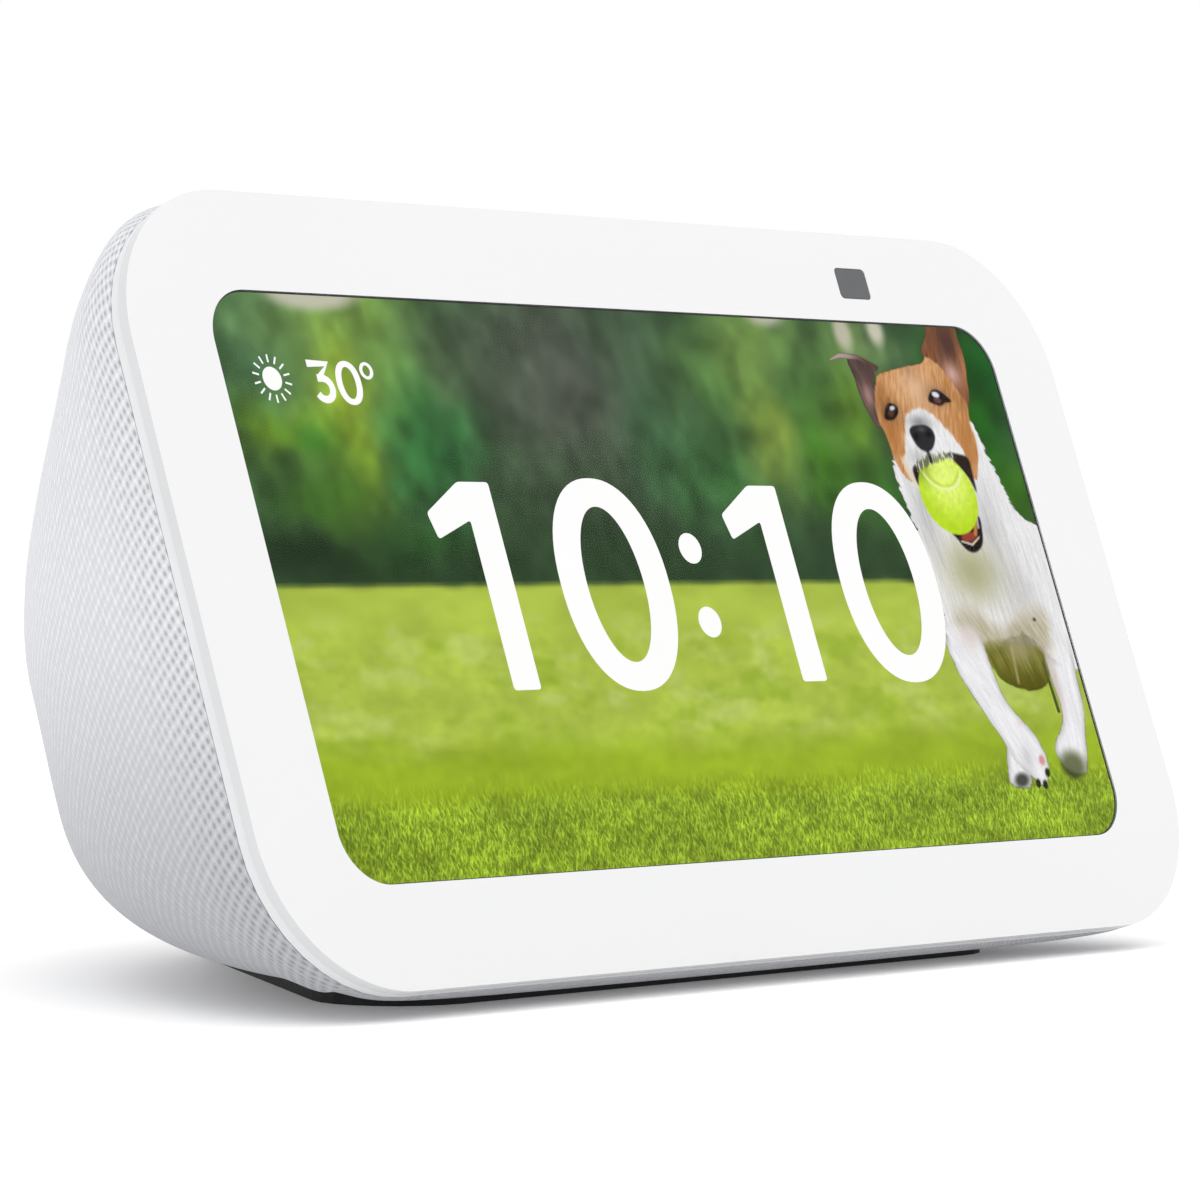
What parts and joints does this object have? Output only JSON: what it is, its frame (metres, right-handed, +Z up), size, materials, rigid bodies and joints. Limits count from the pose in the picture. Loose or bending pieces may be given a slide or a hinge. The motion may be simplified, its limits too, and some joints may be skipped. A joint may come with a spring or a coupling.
{
  "type": "smart display speaker",
  "caption": "Tabletop smart speaker with a tilted touch display, camera shutter, top buttons, knit fabric body, internal loudspeaker and rear power inlet.",
  "frame": {"origin": "middle of the footprint, on the table under the rubber foot", "axes": "+X to the right seen from the front, +Y from the display to the back, +Z up"},
  "size_m": [0.147, 0.0909, 0.082],
  "materials": {
    "white_glass": "white border printed behind clear glass, smooth and glossy",
    "white_plastic": "satin white moulded plastic",
    "knit_fabric": "pale grey-white open knit over a darker ground",
    "foot_rubber": "matt dark rubber",
    "dark_plastic": "fine-grained dark plastic",
    "display": "lit colour display behind glass",
    "camera_lens": "dark glossy lens",
    "circuit_board": "green solder mask",
    "steel": "bare pressed steel",
    "aluminium": "bare rolled sheet",
    "ferrite": "dark sintered ferrite",
    "cone_paper": "black treated paper",
    "surround_rubber": "soft black rubber",
    "flex_circuit": "amber flexible circuit"
  },
  "bodies": {
    "housing": {"cover_glass": "white_glass", "front_frame": "white_plastic", "rear_shell": "white_plastic", "button_strip": "white_plastic", "inlet_sleeve": "white_plastic", "fabric_cover": "knit_fabric", "foot_pad": "foot_rubber", "base_plate": "dark_plastic", "speaker_box": "dark_plastic", "power_jack": "dark_plastic", "display_panel": "display", "camera_module": "camera_lens", "main_board": "circuit_board", "button_board": "circuit_board", "backlight_tray": "steel", "display_bracket": "steel", "shield_can": "steel", "ballast_plate": "steel", "speaker_basket": "steel", "speaker_yoke": "steel", "mute_switch": "steel", "volume_down_switch": "steel", "volume_up_switch": "steel", "microphone_left": "steel", "microphone_right": "steel", "base_screw_1": "steel", "base_screw_2": "steel", "base_screw_3": "steel", "base_screw_4": "steel", "speaker_screw_1": "steel", "speaker_screw_2": "steel", "speaker_screw_3": "steel", "speaker_screw_4": "steel", "heat_spreader": "aluminium", "speaker_magnet": "ferrite", "speaker_surround": "surround_rubber", "speaker_cable": "surround_rubber", "power_cable": "surround_rubber", "display_ribbon": "flex_circuit", "wifi_antenna": "flex_circuit"},
    "mute_key": {"mute_button": "white_plastic"},
    "volume_down_key": {"volume_down_button": "white_plastic"},
    "volume_up_key": {"volume_up_button": "white_plastic"},
    "shutter_knob": {"shutter_slider": "white_plastic"},
    "shutter": {"shutter_blade": "dark_plastic"},
    "cone": {"speaker_cone": "cone_paper", "dust_cap": "cone_paper"}
  },
  "joints": [
    {"name": "mute_press", "type": "slide", "parent": "housing", "child": "mute_key", "axis": [0, -0.1793, -0.9838], "range_m": [0, 0.0005], "stiffness_N_per_m": 1500},
    {"name": "volume_down_press", "type": "slide", "parent": "housing", "child": "volume_down_key", "axis": [0, -0.1793, -0.9838], "range_m": [0, 0.0005], "stiffness_N_per_m": 1500},
    {"name": "volume_up_press", "type": "slide", "parent": "housing", "child": "volume_up_key", "axis": [0, -0.1793, -0.9838], "range_m": [0, 0.0005], "stiffness_N_per_m": 1500},
    {"name": "shutter_knob_slide", "type": "slide", "parent": "housing", "child": "shutter_knob", "axis": [-1, 0, 0], "range_m": [0, 0.007]},
    {"name": "shutter_blade_slide", "type": "slide", "parent": "housing", "child": "shutter", "axis": [-1, 0, 0], "range_m": [0, 0.007]},
    {"name": "cone_travel", "type": "slide", "parent": "housing", "child": "cone", "axis": [0, 1, 0], "range_m": [-0.0015, 0.0015], "stiffness_N_per_m": 900}
  ],
  "couplings": [
    {"joint": "shutter_blade_slide", "follows": "shutter_knob_slide", "ratio": 1}
  ]
}
